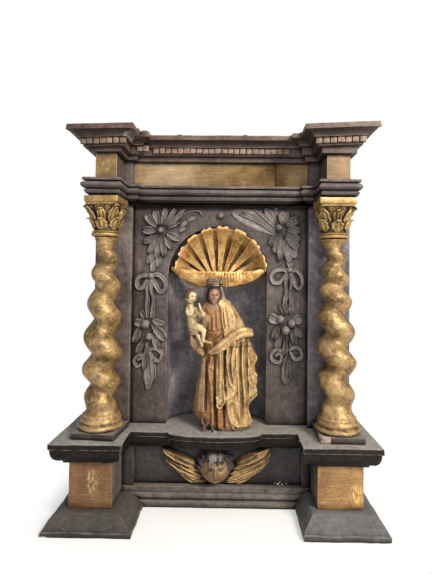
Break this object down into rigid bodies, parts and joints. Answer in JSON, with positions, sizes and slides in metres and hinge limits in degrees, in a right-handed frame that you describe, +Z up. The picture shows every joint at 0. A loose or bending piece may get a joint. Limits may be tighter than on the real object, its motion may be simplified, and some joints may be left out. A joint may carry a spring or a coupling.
{
  "type": "carved wooden niche",
  "caption": "Small altar niche of painted and gilt wood: twisted columns, leaf capitals, a shell hood over an arched recess, a standing figure with a child, and a winged head below.",
  "frame": {"origin": "middle of the underside, halfway between the outermost feet and between the toes of the feet and the back board", "axes": "+Z up; +X to the right of someone facing the front; +Y towards the back, so the front faces -Y"},
  "size_m": [0.748, 0.28, 0.9064],
  "materials": {
    "dark_paint": "worn dark brown-black paint on wood",
    "gilding": "worn, darkened gold leaf over carved wood",
    "silver": "tarnished silver sheet"
  },
  "bodies": {
    "root": {"architrave": "dark_paint", "back_board": "dark_paint", "base_centre": "dark_paint", "base_left": "dark_paint", "base_right": "dark_paint", "boss": "dark_paint", "capital_left": "gilding", "capital_right": "gilding", "cherub": "gilding", "column_left": "gilding", "column_right": "gilding", "cornice": "dark_paint", "crown": "silver", "dado_panel": "dark_paint", "frieze": "gilding", "garland_left": "dark_paint", "garland_right": "dark_paint", "ledge": "dark_paint", "niche_board": "dark_paint", "niche_recess": "dark_paint", "pedestal_left": "gilding", "pedestal_right": "gilding", "pilaster_left": "dark_paint", "pilaster_right": "dark_paint", "plinth_left": "dark_paint", "plinth_right": "dark_paint", "shell": "gilding", "statue": "gilding"}
  },
  "joints": []
}
